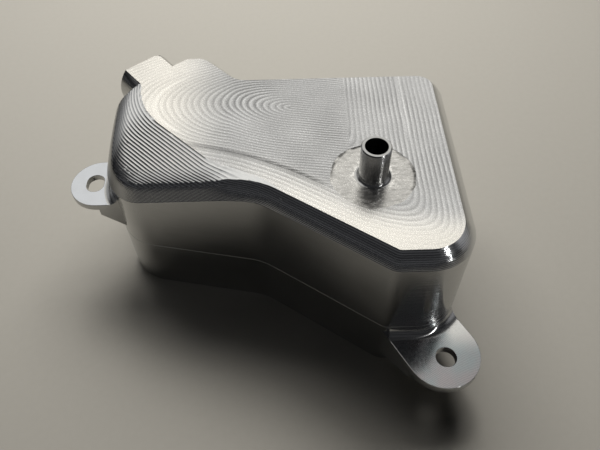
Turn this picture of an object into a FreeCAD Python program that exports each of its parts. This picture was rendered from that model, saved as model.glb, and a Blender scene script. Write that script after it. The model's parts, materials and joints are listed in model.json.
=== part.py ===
import FreeCAD, Part
import math
import os

os.makedirs("parts", exist_ok=True)
V = FreeCAD.Vector

# overall sizes of the tank, mm
tank_length = 115.0
tank_width = 82.0
tank_height = 58.8

# plan of the walls: x runs left from the right wall, y runs back from the front end wall
end_wall_run = 25.0
bend_from_left = 51.0
bend_from_front = 26.9
left_wall_front = 37.3
left_wall_back_gap = 7.0
lobe_left = 23.8
lobe_right = 33.0
lobe_foot = 45.1
lobe_rise = 12.7

# plan radii of the walls
r_back_right = 9.0
r_front_right = 15.0
r_end_left = 6.0
r_bend = 22.0
r_left_front = 16.0
r_left_back = 8.0
r_lobe_left = 8.0
r_lobe_right = 10.0
r_lobe_foot = 4.0
r_least = 1.5

# rim that bulges from the roof's edge to the walls, and the facet that falls to the left front corner
rim_in = 4.0
rim_down = 5.0
rim_bulge = 0.3
rim_steps = 3
facet_slope = 0.43
facet_from_left = 10.3
facet_from_back = 16.5
facet_angle = -44.6

# chamber and the seat of the bottom cover
wall = 6.0
roof = 5.0
seat_lip = 2.5
cover_t = 4.0
cover_recess = 0.4
gasket_t = 1.0
cover_gap = 0.15

# cover screws and the lugs they go into
screw_d = 3.0
screw_len = 12.0
screw_head_d = 5.6
screw_head_h = 1.7
screw_gap = 0.1
screw_hole_spare = 2.0
lug_r = 4.6
lug_inset = 7.2

# hose spigot on the roof, in a round land milled a little below it
spigot_from_right = 28.5
spigot_from_front = 31.8
spigot_od = 9.0
spigot_bore = 6.9
spigot_height = 12.3
spigot_foot_r = 1.2
spigot_edge = 0.3
land_r = 13.0
land_depth = 0.1

# horizontal port boss at the back left corner, cut flat with the roof
boss_from_left = 9.1
boss_behind_back = 7.5
boss_angle = 129.5
boss_r = 10.5
boss_drop = 8.0
boss_run = 34.0
port_d = 11.8
port_depth = 14.0
port_core_d = 8.0
port_core_run = 28.0

# fixing ears, each with a wedge under it that a round spot face clears below the hole
ear_foot_r = 3.5
spot_face_gap = 0.3
low_ear_top = 18.6
low_ear_t = 3.0
low_ear_from_right = 6.2
low_ear_before_front = 9.1
low_ear_angle = -60.6
low_ear_r = 11.8
low_ear_tip = 10.2
low_ear_reach = 24.0
low_ear_hole_d = 6.5
low_wedge_tip = 3.2
low_wedge_slope = 0.466
high_ear_below_roof = 21.3
high_ear_t = 2.2
high_ear_beyond_left = 6.4
high_ear_behind_corner = 13.4
high_ear_angle = 180.0
high_ear_r = 10.1
high_ear_tip = 8.4
high_ear_reach = 14.0
high_ear_slot_w = 6.0
high_ear_slot_l = 7.6
high_wedge_tip = 2.0
high_wedge_slope = 0.87

# places that follow from the sizes
lobe_y = tank_width + lobe_rise
facet_x = facet_from_left - tank_length
facet_y = tank_width - facet_from_back
low_ear_hole = V(-low_ear_from_right, -low_ear_before_front, low_ear_top)
high_ear_top = tank_height - high_ear_below_roof
high_ear_y = left_wall_front + high_ear_behind_corner
high_ear_hole = V(-tank_length - high_ear_beyond_left, high_ear_y, high_ear_top)
spigot_foot = V(-spigot_from_right, spigot_from_front, tank_height - land_depth)
boss_end = V(boss_from_left - tank_length, tank_width + boss_behind_back, tank_height - boss_drop)
cover_z = cover_recess
gasket_z = cover_z + cover_t
seat_z = gasket_z + gasket_t

FRONT_RIGHT, BACK_RIGHT, LOBE_FOOT, LOBE_RIGHT, LOBE_LEFT, LEFT_BACK, LEFT_FRONT, BEND, END_LEFT = range(9)
walls = [
    (0.0, 0.0, r_front_right),
    (0.0, tank_width, r_back_right),
    (lobe_foot - tank_length, tank_width, r_lobe_foot),
    (lobe_right - tank_length, lobe_y, r_lobe_right),
    (lobe_left - tank_length, lobe_y, r_lobe_left),
    (-tank_length, tank_width - left_wall_back_gap, r_left_back),
    (-tank_length, left_wall_front, r_left_front),
    (bend_from_left - tank_length, bend_from_front, r_bend),
    (-end_wall_run, 0.0, r_end_left),
]


def inset_corners(points, inset):
    """Corner points with every side moved inwards, and the radius of each."""
    n = len(points)
    result = []
    for i in range(n):
        p0 = V(points[i - 1][0], points[i - 1][1], 0)
        p1 = V(points[i][0], points[i][1], 0)
        p2 = V(points[(i + 1) % n][0], points[(i + 1) % n][1], 0)
        a = (p1 - p0).normalize()
        b = (p2 - p1).normalize()
        na = V(-a.y, a.x, 0)
        nb = V(-b.y, b.x, 0)
        turn = a.x * b.y - a.y * b.x
        corner = p1 + (na + nb) * (inset / (1.0 + na.dot(nb)))
        r = points[i][2] - inset if turn > 0 else points[i][2] + inset
        result.append((corner, a, b, max(r, r_least)))
    return result


def outline(points, inset, z):
    """Closed wire of straight sides and corner arcs."""
    ends = []
    for corner, a, b, r in inset_corners(points, inset):
        half = math.acos(max(-1.0, min(1.0, a.dot(b)))) / 2.0
        run = r * math.tan(half)
        start = corner - a * run
        stop = corner + b * run
        away = (b - a).normalize()
        mid = corner + away * (r / math.cos(half) - r)
        ends.append((start, mid, stop))
    edges = []
    up = V(0, 0, z)
    for i in range(len(ends)):
        start, mid, stop = ends[i]
        following = ends[(i + 1) % len(ends)][0]
        edges.append(Part.Arc(start + up, mid + up, stop + up).toShape())
        edges.append(Part.makeLine(stop + up, following + up))
    return Part.Wire(edges)


def prism(points, inset, z0, z1):
    face = Part.Face(outline(points, inset, z0))
    return face.extrude(V(0, 0, z1 - z0))


def rim_hull():
    """Everything under the flat roof and inside the bulging rim, wider than the walls below it."""
    slant = math.hypot(rim_in, rim_down)
    profile = []
    for i in range(rim_steps + 1):
        t = i / rim_steps
        out = 4.0 * rim_bulge * t * (1.0 - t)
        profile.append((rim_in * (1.0 - t) - out * rim_down / slant, rim_down * t - out * rim_in / slant))
    before, last = profile[-2:]
    profile.append((last[0] * 2.0 - before[0], last[1] * 2.0 - before[1]))
    spread, fall = profile[-1]
    cap = Part.makeLoft([outline(walls, inset, tank_height - drop) for inset, drop in profile], True, True)
    base = prism(walls, spread, -2.0 * tank_height, tank_height - fall)
    return cap.fuse(base)


def tilted(shape, x, y, angle):
    """Shape sheared so that level faces fall away from a level line at the facet slope."""
    a = math.radians(angle)
    kx = facet_slope * math.sin(a)
    ky = -facet_slope * math.cos(a)
    m = FreeCAD.Matrix()
    m.A31 = kx * -1.0
    m.A32 = ky * -1.0
    m.A34 = kx * x + ky * y
    return shape.transformGeometry(m)


def ear_plan(hole, angle, r, tip, reach, z):
    """Round-ended plan of an ear as a face, with two of its corners and the side direction."""
    a = math.radians(angle)
    out = V(math.cos(a), math.sin(a), 0)
    side = V(-out.y, out.x, 0)
    centre = V(hole.x, hole.y, z) + out * (tip - r)
    p1 = centre - side * r
    p2 = centre + out * r
    p3 = centre + side * r
    p4 = p3 - out * reach
    p5 = p1 - out * reach
    rim = [
        Part.Arc(p1, p2, p3).toShape(),
        Part.makeLine(p3, p4),
        Part.makeLine(p4, p5),
        Part.makeLine(p5, p1),
    ]
    return Part.Face(Part.Wire(rim)), p1, p5, side


def ear(plan, t, wedge_tip, wedge_slope):
    """Plate with a round end and the wedge below it, running into the wall."""
    hole, angle, r, tip, reach = plan
    face, p1, p5, side = ear_plan(*plan, hole.z)
    plate = face.extrude(V(0, 0, -t))
    q1 = p1 - V(0, 0, t / 2.0)
    q2 = p1 - V(0, 0, t + wedge_tip)
    q3 = p5 - V(0, 0, t + wedge_tip + wedge_slope * reach)
    q4 = p5 - V(0, 0, t / 2.0)
    wedge = Part.Face(Part.makePolygon([q1, q2, q3, q4, q1])).extrude(side * (2.0 * r))
    spot = Part.makeCylinder(r + spot_face_gap, hole.z - t, V(hole.x, hole.y, 0))
    return plate.fuse(wedge.cut(spot))


def ear_foot(corner, plan):
    """Hollow fillet between an ear and the walls on both sides of one corner."""
    top = plan[0].z
    edges = outline(walls, 0.0, top).OrderedEdges
    path = Part.Wire([edges[2 * corner - 1], edges[2 * corner], edges[2 * corner + 1]])
    first = path.OrderedEdges[0]
    origin = first.valueAt(first.FirstParameter)
    along = (first.valueAt(first.LastParameter) - origin).normalize()
    out = V(along.y, -along.x, 0)
    up = V(0, 0, 1)
    f = ear_foot_r
    b0 = origin - out - up
    b1 = origin + out * f - up
    b2 = origin + out * f
    b3 = origin + (out + up) * f * (1.0 - math.sqrt(0.5))
    b4 = origin + up * f
    b5 = origin - out + up * f
    section = [
        Part.makeLine(b0, b1),
        Part.makeLine(b1, b2),
        Part.Arc(b2, b3, b4).toShape(),
        Part.makeLine(b4, b5),
        Part.makeLine(b5, b0),
    ]
    strip = path.makePipeShell([Part.Wire(section)], True, False)
    face = ear_plan(*plan, top - up.z)[0]
    return Part.Solid(strip).common(face.extrude(up * (2.0 * f)))


def turned_spigot():
    """Tube stub with a hollow fillet at its foot and a small bevel at its mouth."""
    r = spigot_od / 2.0
    f = spigot_foot_r
    wide = r + f
    slack = f * (1.0 - math.sqrt(0.5))
    root = -roof / 2.0
    mouth = spigot_height - spigot_edge
    section = [
        Part.makeLine(V(0, 0, root), V(wide, 0, root)),
        Part.makeLine(V(wide, 0, root), V(wide, 0, 0)),
        Part.Arc(V(wide, 0, 0), V(r + slack, 0, slack), V(r, 0, f)).toShape(),
        Part.makeLine(V(r, 0, f), V(r, 0, mouth)),
        Part.makeLine(V(r, 0, mouth), V(r - spigot_edge, 0, spigot_height)),
        Part.makeLine(V(r - spigot_edge, 0, spigot_height), V(0, 0, spigot_height)),
        Part.makeLine(V(0, 0, spigot_height), V(0, 0, root)),
    ]
    stub = Part.Face(Part.Wire(section)).revolve(V(0, 0, 0), V(0, 0, 1), 360)
    stub.translate(spigot_foot)
    return stub


def screw_spot(i):
    """Point at the screw inset from the wall, on the line that halves a corner."""
    r = walls[i][2]
    if r <= lug_inset or i == BEND:
        return inset_corners(walls, lug_inset)[i][0]
    centre = inset_corners(walls, r)[i][0]
    toward = (V(walls[i][0], walls[i][1], 0) - centre).normalize()
    return centre + toward * (r - lug_inset)


def slot(hole, width, length, height):
    """Upright slot through an ear, long in y."""
    w = width / 2.0
    half = length / 2.0 - w
    ends = [Part.makeCylinder(w, height, V(hole.x, hole.y + dy, 0)) for dy in (-half, half)]
    return Part.makeBox(2 * w, 2 * half, height, V(hole.x - w, hole.y - half, 0)).fuse(ends)


# outer block: straight walls, the bulging rim, and the facet with the same rim along its lower edge
hull = rim_hull()
block = prism(walls, 0.0, 0.0, tank_height + rim_down).common(hull)
block = block.common(tilted(hull, facet_x, facet_y, facet_angle))
block = block.common(tilted(hull, facet_x, facet_y, -90.0))

# ears grow out of the walls, each with a hollow fillet above
low_plan = (low_ear_hole, low_ear_angle, low_ear_r, low_ear_tip, low_ear_reach)
high_plan = (high_ear_hole, high_ear_angle, high_ear_r, high_ear_tip, high_ear_reach)
low_ear = ear(low_plan, low_ear_t, low_wedge_tip, low_wedge_slope)
high_ear = ear(high_plan, high_ear_t, high_wedge_tip, high_wedge_slope)
low_foot = ear_foot(FRONT_RIGHT, low_plan)
high_foot = ear_foot(LEFT_FRONT, high_plan)

# port boss, level with the roof
turn = math.radians(boss_angle)
boss_out = V(math.cos(turn), math.sin(turn), 0)
boss = Part.makeCylinder(boss_r, boss_run, boss_end - boss_out * boss_run, boss_out)
above = Part.makeBox(4 * boss_run, 4 * boss_run, boss_r)
above.translate(V(boss_end.x - 2 * boss_run, boss_end.y - 2 * boss_run, tank_height))
boss = boss.cut(above)

block = block.cut(Part.makeCylinder(land_r, roof, spigot_foot))
body = block.fuse([low_ear, high_ear, low_foot, high_foot, boss, turned_spigot()])

# screws inside the corners of the plan and in the middle of the back and end walls
spots = [screw_spot(i) for i in (BACK_RIGHT, LOBE_RIGHT, LEFT_BACK, LEFT_FRONT, BEND)]
spots.append((screw_spot(BACK_RIGHT) + screw_spot(LOBE_FOOT)) * 0.5)
spots.append((screw_spot(END_LEFT) + screw_spot(FRONT_RIGHT)) * 0.5)

# chamber with a lug for each screw, milled from below
chamber = prism(walls, wall, seat_z, tank_height - roof)
low_hull = hull.copy()
low_hull.translate(V(0, 0, -roof))
chamber = chamber.common(tilted(low_hull, facet_x, facet_y, facet_angle))
lugs = [Part.makeCylinder(lug_r, tank_height, p) for p in spots]
chamber = chamber.cut(lugs)
seat = prism(walls, seat_lip, -seat_z, seat_z)

# holes in the body
stem_r = screw_d / 2.0
holes = [Part.makeCylinder(stem_r + screw_gap, screw_len + screw_hole_spare, p) for p in spots]
holes.append(Part.makeCylinder(low_ear_hole_d / 2.0, tank_height, V(low_ear_hole.x, low_ear_hole.y, 0)))
holes.append(slot(high_ear_hole, high_ear_slot_w, high_ear_slot_l, tank_height))
bore_start = spigot_foot - V(0, 0, 2.0 * roof)
holes.append(Part.makeCylinder(spigot_bore / 2.0, 2.0 * roof + spigot_height + roof, bore_start))
for port_r, run in ((port_d / 2.0, port_depth), (port_core_d / 2.0, port_core_run)):
    holes.append(Part.makeCylinder(port_r, run, boss_end - boss_out * run, boss_out))
body = body.cut([chamber, seat] + holes).removeSplitter()

# cover plate in its seat, with a flat gasket above it and countersunk screws from below
cover = prism(walls, seat_lip + cover_gap, cover_z, gasket_z)
gasket = prism(walls, seat_lip + cover_gap, gasket_z, seat_z)
gasket = gasket.cut(prism(walls, wall, cover_z, tank_height).cut(lugs))
head_r = screw_head_d / 2.0
screws = []
clearance = []
for p in spots:
    at = p + V(0, 0, cover_z)
    head = Part.makeCone(head_r, stem_r, screw_head_h, at)
    screws.append(head.fuse(Part.makeCylinder(stem_r, screw_len, at)).removeSplitter())
    clearance.append(Part.makeCone(head_r + screw_gap, stem_r + screw_gap, screw_head_h, at))
    clearance.append(Part.makeCylinder(stem_r + screw_gap, screw_len, at))

nodes = {
    "tank_body": body,
    "bottom_cover": cover.cut(clearance),
    "cover_gasket": gasket.cut(clearance),
    "cover_screws": Part.makeCompound(screws),
}

# shared frame: middle of the whole part in plan, resting plane at z = 0
box = body.optimalBoundingBox()
shift = V(-(box.XMin + box.XMax) / 2.0, -(box.YMin + box.YMax) / 2.0, 0)
for name, shape in nodes.items():
    shape.translate(shift)
    shape.exportStep("parts/" + name + ".step")
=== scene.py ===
import json
import math

import bmesh
import bpy
from mathutils import Matrix, Vector, noise


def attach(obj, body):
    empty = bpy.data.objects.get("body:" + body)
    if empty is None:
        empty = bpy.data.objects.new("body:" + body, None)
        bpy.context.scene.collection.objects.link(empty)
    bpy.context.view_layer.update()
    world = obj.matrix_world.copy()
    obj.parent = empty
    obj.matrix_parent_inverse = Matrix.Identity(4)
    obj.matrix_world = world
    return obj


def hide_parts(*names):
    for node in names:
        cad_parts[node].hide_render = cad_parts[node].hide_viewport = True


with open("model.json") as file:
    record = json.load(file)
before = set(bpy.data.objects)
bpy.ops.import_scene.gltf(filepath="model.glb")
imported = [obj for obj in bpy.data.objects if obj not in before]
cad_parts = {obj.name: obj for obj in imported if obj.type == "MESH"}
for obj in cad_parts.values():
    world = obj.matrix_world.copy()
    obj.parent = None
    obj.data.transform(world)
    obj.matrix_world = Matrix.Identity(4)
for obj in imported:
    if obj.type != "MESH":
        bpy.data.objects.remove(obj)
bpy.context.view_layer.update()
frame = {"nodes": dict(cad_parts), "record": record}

scene = bpy.context.scene

# Sizes of the part in mm, in the frame's own axes
MM = 0.001
ROOF_Z = 58.8
RIM_LOWEST = 42.3
BOSS_R = 10.5
BOSS_REACH = 25.0
BOSS_CORNER_R = 2.0
SPIGOT_FOOT_R = 6.0
SPIGOT_ROOT = 2.0
LAND_R = 13.0
LAND_DEEPEST = 0.3
LOW_EAR_Z = 18.6
HIGH_EAR_Z = 37.5
EAR_FOOT_R = 3.5
EAR_EDGE = 0.15
WITNESS_Z = 22.1

# Slack in mm when places are compared, and the upward part of a normal that counts as level or upright
NEAR = 0.1
LEVEL = 0.999
ABOUT_LEVEL = 0.99
UPRIGHT = 0.02

# Edges that turn less than this are smooth in shade
SOFT_ANGLE = math.radians(24.0)

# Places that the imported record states, in mm
mounts = {m["name"]: m for m in frame["record"]["mounts"]}
SPIGOT = Vector(mounts["roof_spigot"]["pos_m"]) / MM
BOSS = Vector(mounts["boss_port"]["pos_m"]) / MM
BOSS_AXIS = Vector(mounts["boss_port"]["axis"]).normalized()
BOSS_END = BOSS + BOSS_AXIS * (mounts["boss_port"]["dims"]["length_mm"] / 2.0)
LOW_HOLE = Vector(mounts["low_ear_hole"]["pos_m"]) / MM

# Facet: a level line on the roof through FACET_AT, from which the surface falls to the left front corner.
# Its crease is rounded, and its lines fan out along the front edge, in from the wall and along y as given.
FACET_AT = Vector((-42.21, 27.16))
FACET_ANGLES = (-44.6, -90.0)
FACET_SLOPE = 0.43
FACET_ROUND = 9.0
FACET_FAN = 7.0
FAN_FROM = 11.0
FAN_Y = (12.0, 2.0)

# Rim: its width and drop, how far it bulges over a straight bevel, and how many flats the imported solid
# has for it
RIM_IN = 4.0
RIM_DOWN = 5.0
RIM_BULGE = 0.3
RIM_FLATS = 3
RIM_TILT = 0.1

# Corner of the left and the front left wall: its middle, its radius, and the way out to the front left
# wall. Towards both walls the facet is slightly crowned and runs in a soft turn into a narrower rim.
LEFT_CORNER = Vector((-36.51, 12.02))
LEFT_CORNER_R = 16.0
FRONT_OUT = Vector((-0.2028, -0.9792))
CROWN_FROM = 8.0
CROWN = 0.03
SOFT_TURN = 1.0
TURN_WHOLE = 6.0
STRAIGHT_RIM_Y = (20.0, 8.0)
RIM_LESS_FRONT = 1.2
RIM_LESS_LEFT = 1.5
RIM_LESS_Y = (-8.0, 6.0)

# Hollow bend between the front left and the diagonal wall: the middle of its arc, which lies outside the
# part, its radius, and the angles between which it runs
BEND = Vector((-10.3025, -32.0956))
BEND_R = 22.0
BEND_ANGLES = (55.42, 78.45)

# Ball-milled rim: each pass cuts one hollow groove at a constant height
PASS_STEP = 0.42
CUTS_PER_PASS = 4
BALL_R = 2.0
DEEPEST_PASS = 0.1

# Depth below the roof at which the rim begins to be cut
SKIN = 0.01

# Zones of the body, which are also its material slots
WALL, ROOF, RIM, SPIGOT_ZONE, LOW_EAR, HIGH_EAR, LAND = range(7)


def ease(value, start, stop):
    """Share from 0 to 1 that starts and stops gently."""
    t = min(max((value - start) / (stop - start), 0.0), 1.0)
    return t * t * (3.0 - 2.0 * t)


def smooth_max(a, b, reach):
    """The larger of two values, rounded where they are nearer than the reach."""
    near = max(reach - abs(a - b), 0.0) / max(reach, 1e-6)
    return max(a, b) + near * near * reach / 4.0


def from_facet_walls(x, y):
    """Distance in from the left wall, the front left wall and the round corner between them."""
    off = Vector((x, y)) - LEFT_CORNER
    if off.y < 0.0 and off.cross(FRONT_OUT) > 0.0:
        return LEFT_CORNER_R - off.length
    return LEFT_CORNER_R + min(off.x, -off.dot(FRONT_OUT))


def facet_fall(x, y):
    """How far a point lies beyond the facet's upper line, in mm.

    As packed, with its crease rounded, and fanned out along the front edge as well.
    """
    beyond = []
    for angle in FACET_ANGLES:
        a = math.radians(angle)
        beyond.append(math.sin(a) * (x - FACET_AT.x) - math.cos(a) * (y - FACET_AT.y))
    smooth = smooth_max(*beyond, FACET_ROUND)
    fan = FACET_FAN * ease(from_facet_walls(x, y), FAN_FROM, RIM_IN) * ease(y, *FAN_Y)
    return max(*beyond, 0.0), max(smooth, 0.0), max(smooth_max(smooth, 0.0, fan), 0.0)


def facet_turn(smooth):
    """Share of the soft turn along the walls, which fades out at the facet's upper line."""
    return ease(smooth, 0.0, TURN_WHOLE)


def rim_profile(t):
    """Point of the rim's profile at a share t of its width: how far in from the wall, and how far down."""
    out = 4.0 * RIM_BULGE * t * (1.0 - t)
    slant = math.hypot(RIM_IN, RIM_DOWN)
    return RIM_IN * (1.0 - t) - out * RIM_DOWN / slant, RIM_DOWN * t - out * RIM_IN / slant


RIM_CORNERS = [rim_profile(i / RIM_FLATS) for i in range(RIM_FLATS + 1)]


def rim_swell(drop):
    """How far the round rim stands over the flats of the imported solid, at a drop below the roof's edge."""
    for (_, low), (_, high) in zip(RIM_CORNERS, RIM_CORNERS[1:]):
        if low < drop < high:
            f = (drop - low) / (high - low)
            return 4.0 * f * (1.0 - f) * RIM_BULGE / RIM_FLATS ** 2
    return 0.0


def zone_of(face):
    """Zone of a face of the body, from where it lies and which way it looks."""
    c = face.calc_center_median() / MM
    n = face.normal
    from_spigot = (c - SPIGOT).xy.length
    if c.z > ROOF_Z - SPIGOT_ROOT and from_spigot < SPIGOT_FOOT_R:
        return SPIGOT_ZONE
    if n.z > LEVEL and c.z > ROOF_Z - LAND_DEEPEST:
        return LAND if from_spigot < LAND_R - NEAR / 2.0 else ROOF
    along = c - BOSS
    off_axis = (along - BOSS_AXIS * along.dot(BOSS_AXIS)).length
    on_boss = off_axis < BOSS_R + NEAR and along.dot(BOSS_AXIS) > -BOSS_REACH
    if c.z > RIM_LOWEST and RIM_TILT < n.z < LEVEL and not on_boss and from_spigot > LAND_R + NEAR:
        return RIM
    if n.z > ABOUT_LEVEL and abs(c.z - LOW_EAR_Z) < NEAR:
        return LOW_EAR
    if n.z > ABOUT_LEVEL and abs(c.z - HIGH_EAR_Z) < NEAR:
        return HIGH_EAR
    return WALL


def geometry_of(faces):
    """Faces with their edges and corners, as the cutting tools want them."""
    edges = {e for f in faces for e in f.edges}
    verts = {v for f in faces for v in f.verts}
    return list(faces) + list(edges) + list(verts)


def cut(bm, geom, point, normal):
    """Cuts the chosen geometry along a plane and returns all of it."""
    made = bmesh.ops.bisect_plane(bm, geom=geom, dist=1e-8, plane_co=point, plane_no=normal)
    return made["geom"]


def rim_inset(drop):
    """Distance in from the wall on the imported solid's rim, at a drop below the roof's edge."""
    i = 0
    while i < RIM_FLATS - 1 and drop >= RIM_CORNERS[i + 1][1]:
        i += 1
    start, low = RIM_CORNERS[i]
    stop, high = RIM_CORNERS[i + 1]
    return start + (stop - start) * (drop - low) / (high - low)


def round_bend(bm):
    """Moves the rim's corners that lie on the flats of the bend out to its true arc."""
    for v in {v for f in bm.faces if f.material_index == RIM for v in f.verts}:
        x, y, z = v.co / MM
        off = Vector((x, y)) - BEND
        angle = math.degrees(math.atan2(off.y, off.x))
        drop = ROOF_Z - FACET_SLOPE * facet_fall(x, y)[0] - z
        in_bend = BEND_ANGLES[0] < angle < BEND_ANGLES[1] and off.length < BEND_R + RIM_IN + 2.0 * NEAR
        if in_bend and drop > -SKIN:
            v.co.xy = (BEND + off.normalized() * (BEND_R + rim_inset(drop))) * MM


def round_facet(bm):
    """The facet's crease and its edges along the two walls become soft turns."""
    step = 0.75
    first = Vector((-54.3, -16.0))
    last = Vector((8.0, 38.0))
    top = [f for f in bm.faces if f.material_index in (ROOF, RIM)]
    geom = geometry_of([f for f in top if min(v.co.x for v in f.verts) < last.x * MM])
    for i in range(int((last.x - first.x) / step)):
        geom = cut(bm, geom, ((first.x + i * step) * MM, 0, 0), (1, 0, 0))
    for i in range(int((last.y - first.y) / step)):
        geom = cut(bm, geom, (0, (first.y + i * step) * MM, 0), (0, 1, 0))
    first_in, first_down = RIM_CORNERS[1]
    upper_slope = first_down / (RIM_IN - first_in)
    round_bend(bm)
    for v in {v for f in bm.faces if f.material_index in (ROOF, RIM) for v in f.verts}:
        x, y, z = v.co / MM
        sharp, smooth, fanned = facet_fall(x, y)
        drop = ROOF_Z - FACET_SLOPE * sharp - z
        if fanned == 0.0 or drop < -SKIN:
            continue
        inset = from_facet_walls(x, y)
        if drop < SKIN / 10.0:
            drop = min(upper_slope * (RIM_IN - inset), 0.0)
        turn = facet_turn(smooth)
        drop += (RIM_DOWN * (1.0 - inset / RIM_IN) - drop) * turn * ease(y, *STRAIGHT_RIM_Y)
        crown = CROWN * turn * max(CROWN_FROM - inset, 0.0) ** 2
        less = RIM_LESS_FRONT + (RIM_LESS_LEFT - RIM_LESS_FRONT) * ease(y, *RIM_LESS_Y)
        less *= turn * max(1.0 - max(drop, 0.0) / RIM_DOWN, 0.0)
        drop = smooth_max(drop - less, crown, SOFT_TURN * turn)
        v.co.z = (ROOF_Z - FACET_SLOPE * fanned - drop) * MM


def mill_rim(bm):
    """Cuts the rim at every pass and hollows each groove, so that sharp cusps stand between the passes."""
    top = [f for f in bm.faces if f.material_index in (ROOF, RIM)]
    geom = geometry_of(top)
    geom = cut(bm, geom, (0, 0, (ROOF_Z - SKIN) * MM), (0, 0, 1))
    step = PASS_STEP / CUTS_PER_PASS
    for i in range(1, int((ROOF_Z - RIM_LOWEST) / step)):
        geom = cut(bm, geom, (0, 0, (ROOF_Z - i * step) * MM), (0, 0, 1))
    for f in bm.faces:
        if f.material_index in (ROOF, RIM):
            low = min(v.co.z for v in f.verts) / MM
            f.material_index = RIM if low < ROOF_Z - 1.5 * SKIN else ROOF
    bm.normal_update()
    least_steep = 0.05
    moves = []
    for v in bm.verts:
        if any(f.material_index != RIM for f in v.link_faces):
            continue
        normal = sum((f.normal * f.calc_area() for f in v.link_faces), Vector()).normalized()
        steep = max(math.sqrt(max(1.0 - normal.z ** 2, 0.0)), least_steep)
        depth = min((PASS_STEP / steep) ** 2 / (8.0 * BALL_R), DEEPEST_PASS)
        x, y, z = v.co / MM
        phase = ((ROOF_Z - z) / PASS_STEP) % 1.0
        hollow = depth * (1.0 - (2.0 * phase - 1.0) ** 2)
        _, smooth, fanned = facet_fall(x, y)
        swell = rim_swell(ROOF_Z - FACET_SLOPE * fanned - z) * (1.0 - facet_turn(smooth))
        moves.append((v, normal * ((swell - hollow) * MM)))
    return moves


def cusp(edge):
    """True for an edge along the top of the ridge between two passes."""
    slack = 0.02
    for v in edge.verts:
        phase = ((ROOF_Z - v.co.z / MM) / PASS_STEP) % 1.0
        if min(phase, 1.0 - phase) > slack:
            return False
    return all(f.material_index == RIM for f in edge.link_faces)


def ragged_land(bm):
    """The edge of the land round the spigot wanders as the cutter ran in and out."""
    amount = 0.45
    broad_swings = 3.0
    fine_swings = 4.0
    for v in bm.verts:
        p = v.co / MM
        out = (p - SPIGOT).xy
        if p.z > ROOF_Z - LAND_DEEPEST and abs(out.length - LAND_R) < NEAR / 2.0:
            turn = out.normalized() * broad_swings
            broad = noise.noise(Vector((turn.x, turn.y, 4.0)))
            fine = noise.noise(Vector((turn.x, turn.y, 1.0)) * fine_swings)
            v.co.xy += out.normalized() * ((broad + 0.5 * fine) * amount * MM)


def witness_line(bm):
    """Fine groove along the front walls where two cuts of the side meet."""
    half = 0.08
    deep = 0.04
    front_y = 5.0
    front = [f for f in bm.faces if f.material_index == WALL and f.normal.y < -0.5 and f.normal.x < -0.1]
    front = [f for f in front if f.calc_center_median().y < front_y * MM and abs(f.normal.z) < UPRIGHT]
    geom = geometry_of(front)
    for dz in (-half, 0.0, half):
        geom = cut(bm, geom, (0, 0, (WITNESS_Z + dz) * MM), (0, 0, 1))
    bm.normal_update()
    for v in {g for g in geom if isinstance(g, bmesh.types.BMVert)}:
        if abs(v.co.z / MM - WITNESS_Z) < half / 2.0:
            normal = sum((f.normal for f in v.link_faces), Vector()).normalized()
            v.co -= normal * (deep * MM)


def round_ear_edges(bm):
    """Small round along the upper edges of both ears and their holes, and a grid over their level tops."""
    sharp = 1.0
    chosen = []
    for e in bm.edges:
        zones = {f.material_index for f in e.link_faces}
        if zones & {LOW_EAR, HIGH_EAR} and len(zones) == 2 and e.calc_face_angle(0.0) > sharp:
            chosen.append(e)
    bmesh.ops.bevel(bm, geom=chosen, offset=EAR_EDGE * MM, segments=2, profile=0.5, affect="EDGES")
    step = 1.0
    for zone in (LOW_EAR, HIGH_EAR):
        faces = [f for f in bm.faces if f.material_index == zone and f.normal.z > ABOUT_LEVEL]
        geom = geometry_of(faces)
        for axis in (0, 1):
            places = [v.co[axis] / MM for f in faces for v in f.verts]
            normal = Vector((axis == 0, axis == 1, 0))
            for i in range(1, int((max(places) - min(places)) / step) + 1):
                geom = cut(bm, geom, normal * ((min(places) + i * step) * MM), normal)


def round_boss_corner(bm):
    """The far corner of the boss's flat top is rounded off."""
    side = Vector((BOSS_AXIS.y, -BOSS_AXIS.x, 0.0))
    half = math.sqrt(BOSS_R ** 2 - (ROOF_Z - BOSS.z) ** 2)
    corner = Vector((BOSS_END.x, BOSS_END.y, ROOF_Z)) + side * half
    near = [v for v in bm.verts if (v.co / MM - corner).length < NEAR]
    bmesh.ops.bevel(bm, geom=near, offset=BOSS_CORNER_R * MM, segments=4, profile=0.5, affect="VERTICES")


def cut_walls_above_ears(bm):
    """Level cuts just above the ears' hollow fillets keep the walls over them straight in shade."""
    above = 0.3
    for top in (LOW_EAR_Z, HIGH_EAR_Z):
        walls = [f for f in bm.faces if f.material_index == WALL and abs(f.normal.z) < UPRIGHT]
        cut(bm, geometry_of(walls), (0, 0, (top + EAR_FOOT_R + above) * MM), (0, 0, 1))
    bm.normal_update()


def ear_brink(edge):
    """True where the level top of an ear ends at its rounded edge."""
    least_turn = math.radians(10.0)
    level = [f.normal.z > LEVEL for f in edge.link_faces]
    on_ear = any(f.material_index in (LOW_EAR, HIGH_EAR) for f in edge.link_faces)
    return on_ear and any(level) and not all(level) and edge.calc_face_angle(0.0) > least_turn


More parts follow.
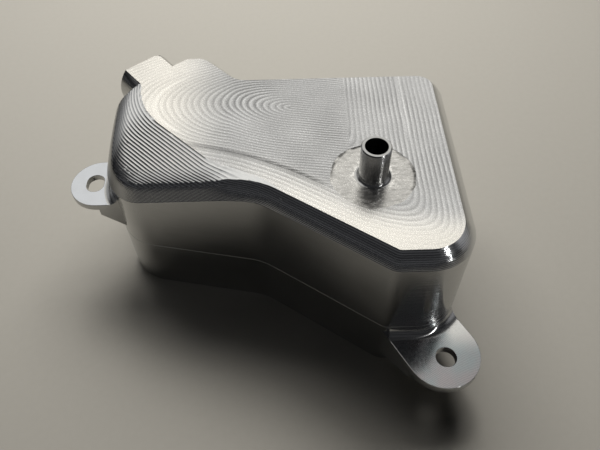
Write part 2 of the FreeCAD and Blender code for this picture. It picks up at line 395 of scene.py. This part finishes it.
def milled_body():
    """The body with the marks that milling left on it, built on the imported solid."""
    bm = bmesh.new()
    bm.from_mesh(frame["nodes"]["tank_body"].data)
    same_place = 0.001
    bmesh.ops.remove_doubles(bm, verts=bm.verts, dist=same_place * MM)
    round_boss_corner(bm)
    bm.normal_update()
    for f in bm.faces:
        f.material_index = zone_of(f)
    ragged_land(bm)
    witness_line(bm)
    round_ear_edges(bm)
    cut_walls_above_ears(bm)
    round_facet(bm)
    moves = mill_rim(bm)
    for f in bm.faces:
        f.smooth = True
    flat = {ROOF, LAND}
    for e in bm.edges:
        zones = {f.material_index for f in e.link_faces}
        soft = e.calc_face_angle(0.0) < SOFT_ANGLE
        brink = ear_brink(e) or (len(zones) > 1 and zones & flat)
        e.smooth = soft and not cusp(e) and not brink
    for v, move in moves:
        v.co += move
    mesh = bpy.data.meshes.new("tank_body_milled")
    bm.to_mesh(mesh)
    bm.free()
    piece = bpy.data.objects.new("tank_body_milled", mesh)
    scene.collection.objects.link(piece)
    return piece


class Graph:
    """A material and short ways to add nodes to it. Places are in the part's own frame."""

    def __init__(self, name):
        self.material = bpy.data.materials.new(name)
        self.material.use_nodes = True
        self.tree = self.material.node_tree
        self.shader = self.tree.nodes["Principled BSDF"]
        self.place = self.tree.nodes.new("ShaderNodeTexCoord").outputs["Object"]

    def node(self, kind, **settings):
        made = self.tree.nodes.new(kind)
        for key, value in settings.items():
            setattr(made, key, value)
        return made

    def put(self, socket, value):
        if isinstance(value, bpy.types.NodeSocket):
            self.tree.links.new(value, socket)
        else:
            socket.default_value = value

    def math(self, operation, *values, clamp=False):
        made = self.node("ShaderNodeMath", operation=operation, use_clamp=clamp)
        for socket, value in zip(made.inputs, values):
            self.put(socket, value)
        return made.outputs[0]

    def vector(self, operation, a, b):
        made = self.node("ShaderNodeVectorMath", operation=operation)
        self.put(made.inputs[0], a)
        self.put(made.inputs["Scale"] if operation == "SCALE" else made.inputs[1], b)
        gives_number = operation in ("DOT_PRODUCT", "DISTANCE")
        return made.outputs["Value"] if gives_number else made.outputs["Vector"]

    def millimetres(self):
        return self.vector("SCALE", self.place, 1.0 / MM)

    def split(self, vector):
        made = self.node("ShaderNodeSeparateXYZ")
        self.put(made.inputs[0], vector)
        return made.outputs

    def noise(self, vector, scale, detail=3.0, roughness=0.5):
        made = self.node("ShaderNodeTexNoise")
        self.put(made.inputs["Vector"], vector)
        made.inputs["Scale"].default_value = scale
        made.inputs["Detail"].default_value = detail
        made.inputs["Roughness"].default_value = roughness
        return made.outputs["Fac"]

    def stretched(self, vector, factors):
        return self.vector("MULTIPLY", vector, factors)

    def span(self, value, low, high, to_low=0.0, to_high=1.0):
        made = self.node("ShaderNodeMapRange", interpolation_type="SMOOTHSTEP")
        self.put(made.inputs["Value"], value)
        for name, x in (("From Min", low), ("From Max", high), ("To Min", to_low), ("To Max", to_high)):
            self.put(made.inputs[name], x)
        return made.outputs["Result"]

    def spread(self, field, to_low, to_high):
        """A noise field, which mostly lies between 0.3 and 0.7, spread between two values."""
        return self.span(field, 0.3, 0.7, to_low, to_high)

    def mix(self, factor, a, b):
        made = self.node("ShaderNodeMix", data_type="FLOAT")
        self.put(made.inputs[0], factor)
        self.put(made.inputs[2], a)
        self.put(made.inputs[3], b)
        return made.outputs[0]

    def colour(self, factor, a, b):
        made = self.node("ShaderNodeMix", data_type="RGBA")
        self.put(made.inputs[0], factor)
        self.put(made.inputs[6], (*a, 1.0) if isinstance(a, tuple) else a)
        self.put(made.inputs[7], (*b, 1.0) if isinstance(b, tuple) else b)
        return made.outputs[2]

    def waves(self, value, pitch):
        """Lines at a pitch along a field, from 0 to 1: each pass rises slowly and falls fast."""
        rising = 0.7
        part = self.math("FRACT", self.math("DIVIDE", value, pitch))
        rise = self.math("DIVIDE", part, rising)
        fall = self.math("DIVIDE", self.math("SUBTRACT", 1.0, part), 1.0 - rising)
        return self.math("MINIMUM", rise, fall)

    def bump(self, height, depth_mm):
        made = self.node("ShaderNodeBump")
        made.inputs["Strength"].default_value = 1.0
        made.inputs["Distance"].default_value = depth_mm * MM
        self.put(made.inputs["Height"], height)
        self.put(self.shader.inputs["Normal"], made.outputs["Normal"])

    def metal(self, base, roughness, metallic=1.0):
        self.shader.inputs["Metallic"].default_value = metallic
        self.shader.inputs["Specular IOR Level"].default_value = 0.0
        self.put(self.shader.inputs["Base Color"], base)
        self.put(self.shader.inputs["Roughness"], roughness)
        return self.material


def roof_material():
    """Flat top with the cutter's winding path: loops at the left, runs along the front and right walls, with
    painted light and painted highlights in its colour.
    """
    g = Graph("milled_roof")
    xyz = g.millimetres()
    wander = g.noise(xyz, 0.07, 2.0)
    x, y, _ = g.split(xyz)

    # loops: half ovals to the left of a centre, drawn out to the right into long runs
    centre = (10.0, 28.0)
    drawn_out = 2.1
    runs_before = 20.0
    run_fall = 0.16
    left = g.math("DIVIDE", g.math("MINIMUM", g.math("SUBTRACT", x, centre[0]), 0.0), drawn_out)
    right = g.math("MAXIMUM", g.math("SUBTRACT", x, centre[0] - runs_before), 0.0)
    up = g.math("MULTIPLY_ADD", right, run_fall, g.math("SUBTRACT", y, centre[1]))
    loops = g.math("SQRT", g.math("ADD", g.math("MULTIPLY", left, left), g.math("MULTIPLY", up, up)))

    # runs along the walls: distance in from the right, end, diagonal and front left edges of the roof
    def inset(point, outward):
        off = g.vector("DOT_PRODUCT", g.vector("SUBTRACT", xyz, (*point, 0.0)), (*outward, 0.0))
        return g.math("MULTIPLY", off, -1.0)

    diagonal = inset((35.2, -35.0), (-0.5678, -0.8231))
    front_left = inset((-2.3, -7.5), (-0.2028, -0.9792))
    front = g.math("SMOOTH_MAX", diagonal, front_left, 14.0)
    sides = g.math("SMOOTH_MIN", inset((58.5, 0.0), (1.0, 0.0)), front, 12.0)
    runs = g.math("SMOOTH_MIN", sides, inset((0.0, -34.3), (0.0, -1.0)), 14.0)

    streak_in = 11.7
    inner_x = 28.0
    loop_pitch = 1.1
    run_pitch = 1.5
    in_loops = g.math("MULTIPLY", g.math("GREATER_THAN", runs, streak_in), g.math("LESS_THAN", x, inner_x))
    bend = g.math("MULTIPLY_ADD", wander, 1.2, loops)
    loop_lines = g.waves(bend, loop_pitch)
    run_lines = g.waves(g.math("MULTIPLY_ADD", wander, 0.8, runs), run_pitch)
    lines = g.mix(in_loops, run_lines, loop_lines)
    strength = g.span(g.noise(xyz, 0.05, 2.0), 0.35, 0.65, 0.45, 1.0)
    lines = g.mix(strength, 0.5, lines)

    # the darker track where the loops meet the runs, and painted highlights as light bands beside the loops
    # and at the right
    track = g.span(g.math("ABSOLUTE", g.math("SUBTRACT", runs, streak_in)), 0.5, 1.4, 1.0, 0.0)
    track = g.math("MULTIPLY", track, g.span(x, -28.0, -20.0))
    track = g.math("MULTIPLY", track, g.span(x, 15.0, 22.0, 1.0, 0.0))
    loop_highlight = g.span(g.math("ABSOLUTE", g.math("SUBTRACT", loops, 22.0)), 0.2, 0.9, 1.0, 0.0)
    loop_highlight = g.math("MULTIPLY", loop_highlight, g.span(x, -24.0, -30.0))
    highlight_band = g.span(g.math("ABSOLUTE", g.math("SUBTRACT", x, 47.0)), 0.3, 0.9, 1.0, 0.0)
    highlight_band = g.math("MULTIPLY", highlight_band, g.span(y, 5.0, 14.0))
    light = g.math("ADD", loop_highlight, highlight_band, clamp=True)

    # painted light in the cut metal's colour: dull among the loops, painted brighter at the left and
    # brightest at the right front corner, where the lines are also fainter
    dull = 0.47
    painted_light_at_left = 0.39
    painted_light_at_right = 0.07
    painted_light_at_corner = 0.5
    line_contrast = 0.44
    less_contrast = -0.2
    fine = g.noise(xyz, 2.4, 4.0, 0.6)
    patch = g.noise(xyz, 0.06, 2.0)
    ahead = g.math("SMOOTH_MIN", front, inset((0.0, -34.3), (0.0, -1.0)), 14.0)
    corner = g.math("MULTIPLY", g.span(ahead, 16.0, 3.0), g.span(x, -30.0, 34.0))
    side = g.span(x, -8.0, -34.0)
    level = g.math("MULTIPLY_ADD", side, painted_light_at_left, dull)
    level = g.math("MULTIPLY_ADD", g.span(x, 20.0, 34.0), painted_light_at_right, level)
    level = g.math("MULTIPLY_ADD", g.math("SUBTRACT", patch, 0.5), 0.3, level)
    level = g.math("MULTIPLY_ADD", corner, painted_light_at_corner, level)
    contrast = g.math("MULTIPLY_ADD", g.math("MAXIMUM", corner, side), less_contrast, line_contrast)
    level = g.math("MULTIPLY_ADD", g.math("SUBTRACT", lines, 0.5), contrast, level)
    level = g.math("MULTIPLY_ADD", g.math("SUBTRACT", fine, 0.5), 0.24, level)
    level = g.math("MULTIPLY_ADD", track, -0.24, level)
    # painted highlights: the light bands lighten the roof's colour
    level = g.math("MULTIPLY_ADD", light, 0.14, level)
    # the warm tint at the left and at the front right corner is painted warm light
    warm = g.math("MAXIMUM", corner, side)
    tint = g.colour(warm, (0.985, 0.99, 1.0), (1.0, 0.97, 0.91))
    base = g.colour(level, (0.0, 0.0, 0.0), tint)
    g.bump(g.math("MULTIPLY_ADD", fine, 0.1, lines), 0.012)
    return g.metal(base, g.spread(fine, 0.24, 0.32), 0.8)


def rim_material():
    """Bright ball-milled grooves, with fine scratches along each pass, and painted shade that darkens the
    left end.
    """
    g = Graph("ball_milled_rim")
    xyz = g.millimetres()
    scratch = g.noise(g.stretched(xyz, (0.4, 0.4, 9.0)), 1.0, 4.0, 0.6)
    base = g.colour(scratch, (0.62, 0.63, 0.64), (0.84, 0.84, 0.83))
    x, _, _ = g.split(xyz)
    # painted shade: the rim's colour darkens towards its left end
    base = g.colour(g.span(x, -44.5, -50.0, 0.0, 0.7), base, (0.0, 0.0, 0.0))
    g.bump(scratch, 0.0015)
    return g.metal(base, g.spread(scratch, 0.1, 0.17))


def wall_material():
    """Side-milled walls: satin, with faint level marks, so that highlights run up and down.

    They run furthest at the front right corner. A duller line marks where two cuts of the side meet.
    """
    g = Graph("side_milled_wall")
    xyz = g.millimetres()
    marks = g.noise(g.stretched(xyz, (0.05, 0.05, 2.2)), 1.0, 5.0, 0.65)
    cloud = g.noise(xyz, 0.09, 3.0)
    mottle = g.math("MULTIPLY_ADD", cloud, 0.5, g.math("MULTIPLY", marks, 0.5))
    base = g.colour(mottle, (0.45, 0.45, 0.445), (0.64, 0.64, 0.63))
    g.bump(marks, 0.0006)
    x, _, z = g.split(xyz)
    g.put(g.shader.inputs["Anisotropic"], g.span(x, 42.0, 50.0, 0.8, 1.0))
    g.shader.inputs["Anisotropic Rotation"].default_value = 0.25
    tangent = g.node("ShaderNodeTangent", direction_type="RADIAL", axis="Z")
    g.put(g.shader.inputs["Tangent"], tangent.outputs[0])
    witness = g.span(g.math("ABSOLUTE", g.math("SUBTRACT", z, WITNESS_Z)), 0.1, 0.2, 1.0, 0.0)
    roughness = g.spread(marks, 0.12, 0.18)
    return g.metal(base, g.math("MULTIPLY_ADD", witness, 0.4, roughness))


def spigot_material():
    """Turned and polished tube, with very fine rings."""
    g = Graph("turned_spigot")
    xyz = g.millimetres()
    rings = g.noise(g.stretched(xyz, (0.02, 0.02, 6.0)), 1.0, 4.0, 0.6)
    base = g.colour(rings, (0.4, 0.4, 0.4), (0.56, 0.56, 0.55))
    g.bump(rings, 0.0002)
    return g.metal(base, g.spread(rings, 0.17, 0.22))


def low_ear_material():
    """Lower ear: arcs of a face mill, with faint colours of painted sheen, as from a fine grating, and a
    painted highlight at its right root.
    """
    g = Graph("face_milled_ear")
    xyz = g.millimetres()
    sweep = g.vector("DISTANCE", xyz, (LOW_HOLE.x + 16.0, LOW_HOLE.y + 22.0, LOW_EAR_Z))
    arcs = g.waves(g.math("MULTIPLY_ADD", g.noise(xyz, 0.3), 0.5, sweep), 0.55)
    fine = g.noise(xyz, 1.6, 4.0)
    # painted sheen: faint tints of colour stand in for the sheen on the cut face
    sheen_tints = g.spread(g.noise(xyz, 0.13, 2.0), 0.0, 1.0)
    painted_sheen = g.colour(sheen_tints, (0.58, 0.52, 0.535), (0.475, 0.545, 0.565))
    level = g.math("MULTIPLY_ADD", arcs, 0.5, g.math("MULTIPLY", fine, 0.5))
    base = g.colour(level, (0.24, 0.253, 0.258), painted_sheen)
    x, y, _ = g.split(xyz)
    # painted highlight: lighter towards the right and back, at the ear's root
    at_right = g.span(x, LOW_HOLE.x - 1.0, LOW_HOLE.x + 4.0)
    at_back = g.span(y, LOW_HOLE.y, LOW_HOLE.y + 11.0)
    root = g.math("MULTIPLY", at_right, at_back)
    base = g.colour(g.math("MULTIPLY", root, 0.8), base, (0.86, 0.85, 0.82))
    g.bump(arcs, 0.0015)
    return g.metal(base, g.spread(fine, 0.15, 0.24))


def high_ear_material():
    """Upper ear: cloudy cut face with a cool sheen."""
    g = Graph("cloudy_ear")
    xyz = g.millimetres()
    cloud = g.noise(xyz, 0.35, 4.0, 0.6)
    fine = g.noise(xyz, 2.5, 3.0)
    mottle = g.math("MULTIPLY_ADD", fine, 0.25, g.math("MULTIPLY", cloud, 0.8))
    base = g.colour(mottle, (0.54, 0.567, 0.612), (0.8, 0.82, 0.85))
    g.bump(cloud, 0.01)
    return g.metal(base, g.spread(cloud, 0.28, 0.42))


def land_material():
    """Land round the spigot: short strokes of the cutter, a dark edge that comes and goes, and painted
    highlights near the spigot's base.
    """
    g = Graph("milled_land")
    xyz = g.millimetres()
    flat = g.stretched(xyz, (1.0, 1.0, 0.0))
    axis = (SPIGOT.x, SPIGOT.y, 0.0)
    from_axis = g.vector("DISTANCE", flat, axis)
    strokes = g.noise(g.stretched(xyz, (0.45, 1.0, 1.0)), 1.0, 5.0, 0.65)
    fine = g.noise(xyz, 2.4, 4.0, 0.6)
    edge = g.math("MULTIPLY", g.span(from_axis, 11.8, 12.6), g.span(g.noise(flat, 0.14, 3.0), 0.42, 0.56))
    behind = g.vector("DOT_PRODUCT", g.vector("SUBTRACT", flat, axis), (0.35, 0.94, 0.0))
    edge = g.math("MULTIPLY", edge, g.span(behind, -7.0, 0.0))
    # painted highlight: patches lighter near the spigot's base
    foot_highlight = g.math("MULTIPLY", g.span(from_axis, 8.0, 6.4), g.span(g.noise(flat, 0.6, 2.0), 0.45, 0.6))
    level = g.math("MULTIPLY_ADD", strokes, 0.95, 0.1)
    level = g.math("MULTIPLY_ADD", g.math("SUBTRACT", fine, 0.5), 0.25, level)
    level = g.math("MULTIPLY_ADD", edge, -0.4, level)
    level = g.math("MULTIPLY_ADD", foot_highlight, 0.3, level)
    base = g.colour(level, (0.0, 0.0, 0.0), (1.0, 0.985, 0.95))
    g.bump(strokes, 0.018)
    return g.metal(base, g.spread(strokes, 0.18, 0.3), 0.85)


def cover_material():
    """Underside plate, milled in straight passes."""
    g = Graph("milled_cover")
    xyz = g.millimetres()
    x, _, _ = g.split(xyz)
    passes = g.waves(g.math("MULTIPLY_ADD", g.noise(xyz, 0.2), 0.4, x), 1.6)
    base = g.colour(passes, (0.6, 0.6, 0.6), (0.78, 0.78, 0.77))
    g.bump(passes, 0.01)
    return g.metal(base, g.spread(g.noise(xyz, 1.0), 0.28, 0.4))


def gasket_material():
    """Flat rubber gasket, dark and matte."""
    g = Graph("gasket_rubber")
    grain = g.noise(g.millimetres(), 3.0, 4.0)
    g.put(g.shader.inputs["Base Color"], g.colour(grain, (0.02, 0.02, 0.021), (0.05, 0.05, 0.051)))
    g.put(g.shader.inputs["Roughness"], g.spread(grain, 0.6, 0.8))
    g.bump(grain, 0.02)
    return g.material


def screw_material():
    """Plain steel of the cover screws."""
    g = Graph("screw_steel")
    grain = g.noise(g.millimetres(), 2.0, 4.0)
    g.bump(grain, 0.004)
    base = g.colour(grain, (0.42, 0.42, 0.43), (0.58, 0.58, 0.59))
    return g.metal(base, g.spread(grain, 0.25, 0.4))


def table_top():
    """Plain pale table, a little glossy."""
    half = 4.0
    below = 0.05
    corners = [(-half, -half, 0), (half, -half, 0), (half, half, 0), (-half, half, 0)]
    mesh = bpy.data.meshes.new("table_top")
    mesh.from_pydata(corners, [], [(0, 1, 2, 3)])
    floor = bpy.data.objects.new("table_top", mesh)
    floor.location.z = -below * MM
    scene.collection.objects.link(floor)
    g = Graph("table_paint")
    grain = g.noise(g.millimetres(), 0.4, 4.0)
    g.put(g.shader.inputs["Base Color"], g.colour(grain, (0.46, 0.445, 0.41), (0.49, 0.475, 0.44)))
    g.shader.inputs["Roughness"].default_value = 0.42
    g.shader.inputs["Specular IOR Level"].default_value = 0.4
    mesh.materials.append(g.material)


def put_lamp(data, aim, place, in_reflections):
    """Puts a light at a place, turned towards a point, to light the table or to be mirrored in the metal."""
    lamp = bpy.data.objects.new(data.name, data)
    lamp.location = place
    lamp.rotation_mode = "QUATERNION"
    lamp.rotation_quaternion = (Vector(aim) - Vector(place)).to_track_quat("-Z", "Y")
    lamp.visible_camera = False
    lamp.visible_glossy = in_reflections
    lamp.visible_diffuse = not in_reflections
    scene.collection.objects.link(lamp)


def room():
    """Dim room with faint rows of light, patches at the sides and a broad bright field above and behind."""
    low_light = (0.017, 0.0175, 0.019, 1.0)
    row_light = (0.07, 0.071, 0.075, 1.0)

    # rows of light: the height of each and half its width
    rows = ((0.12, 0.1), (0.45, 0.12), (0.8, 0.1))

    # patches: the way to each, the cosines at which it begins and is whole, and its colour
    patches = (
        ((-0.75, 0.6, 0.28), 0.94, 0.985, (0.4, 0.4, 0.4, 1.0)),
        ((-0.57, 0.1, 0.815), 0.972, 0.993, (0.62, 0.615, 0.6, 1.0)),
        ((0.92, 0.1, 0.34), 0.9, 0.97, (0.3, 0.3, 0.31, 1.0)),
        ((-0.15, 0.66, 0.73), 0.72, 0.94, (0.97, 0.955, 0.915, 1.0)),
    )
    world = bpy.data.worlds.new("room")
    scene.world = world
    world.use_nodes = True
    tree = world.node_tree
    coords = tree.nodes.new("ShaderNodeTexCoord").outputs["Generated"]

    def along(direction, start, stop):
        toward = tree.nodes.new("ShaderNodeVectorMath")
        toward.operation = "DOT_PRODUCT"
        toward.inputs[1].default_value = direction
        tree.links.new(coords, toward.inputs[0])
        edge = tree.nodes.new("ShaderNodeMapRange")
        edge.interpolation_type = "SMOOTHSTEP"
        edge.inputs["From Min"].default_value = start
        edge.inputs["From Max"].default_value = stop
        tree.links.new(toward.outputs["Value"], edge.inputs["Value"])
        return edge.outputs["Result"]

    def blend(factor, a, b):
        made = tree.nodes.new("ShaderNodeMix")
        made.data_type = "RGBA"
        tree.links.new(factor, made.inputs[0])
        for socket, value in ((made.inputs[6], a), (made.inputs[7], b)):
            if isinstance(value, tuple):
                socket.default_value = value
            else:
                tree.links.new(value, socket)
        return made.outputs[2]

    shade = low_light
    overhead = (0.0, 0.0, 1.0)
    for height, half in rows:
        shade = blend(along(overhead, height - half, height), shade, row_light)
        shade = blend(along(overhead, height, height + half), shade, low_light)
    for toward, start, stop, colour in patches:
        shade = blend(along(Vector(toward).normalized(), start, stop), shade, colour)
    tree.links.new(shade, tree.nodes["Background"].inputs["Color"])
    world.cycles_visibility.diffuse = False


def soft_panel(name, size, power, tint):
    """Rectangular soft light."""
    data = bpy.data.lights.new(name, "AREA")
    data.shape = "RECTANGLE"
    data.size, data.size_y = size
    data.energy = power
    data.color = tint
    return data


def soft_sun(name, power, spread, tint):
    """Even light from one side, with soft shadows."""
    data = bpy.data.lights.new(name, "SUN")
    data.energy = power
    data.angle = math.radians(spread)
    data.color = tint
    return data


def lights():
    """Soft light from behind for the table, near by and all over, and a slim one for the bright streaks."""
    warm = (1.0, 0.97, 0.91)
    white = (1.0, 1.0, 1.0)
    behind = soft_panel("light_behind", (0.5, 0.25), 2.75, warm)
    put_lamp(behind, (0.0, 0.05, 0.0), (0.0, 0.32, 0.43), False)
    all_over = soft_sun("light_all_over", 0.45, 16.0, warm)
    put_lamp(all_over, (0.03, -0.63, -0.77), (0.0, 0.0, 0.0), False)
    right = soft_panel("light_right", (0.018, 0.5), 0.55, white)
    put_lamp(right, (0.05, -0.03, 0.2), (0.55, -0.45, 0.46), True)


def camera():
    """Camera at the photograph's place, worked out from the part's upright and straight edges."""
    place = Vector((10.09, -128.74, 192.8)) * MM
    down = math.radians(52.2)
    roll = math.radians(0.9)
    ahead = Vector((0.0131, 0.9999, 0.0)).normalized()
    level = Vector((ahead.y, -ahead.x, 0.0))
    rise = Vector((0.0, 0.0, 1.0))
    forward = ahead * math.cos(down) - rise * math.sin(down)
    over = ahead * math.sin(down) + rise * math.cos(down)
    right = level * math.cos(roll) - over * math.sin(roll)
    up = level * math.sin(roll) + over * math.cos(roll)
    data = bpy.data.cameras.new("photo_camera")
    data.sensor_fit = "HORIZONTAL"
    data.sensor_width = 36.0
    data.lens = 36.0
    data.clip_start = 0.005
    view = bpy.data.objects.new("photo_camera", data)
    turn = Matrix((right, up, -forward)).transposed()
    view.matrix_world = Matrix.Translation(place) @ turn.to_4x4()
    scene.collection.objects.link(view)
    scene.camera = view


body = milled_body()
zone_materials = {
    WALL: wall_material(),
    ROOF: roof_material(),
    RIM: rim_material(),
    SPIGOT_ZONE: spigot_material(),
    LOW_EAR: low_ear_material(),
    HIGH_EAR: high_ear_material(),
    LAND: land_material(),
}
for zone in sorted(zone_materials):
    body.data.materials.append(zone_materials[zone])
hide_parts("tank_body")
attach(body, "root")
for name, material in (
    ("bottom_cover", cover_material()),
    ("cover_gasket", gasket_material()),
    ("cover_screws", screw_material()),
):
    frame["nodes"][name].data.materials[0] = material

table_top()
room()
lights()
camera()
scene.view_settings.view_transform = "Standard"
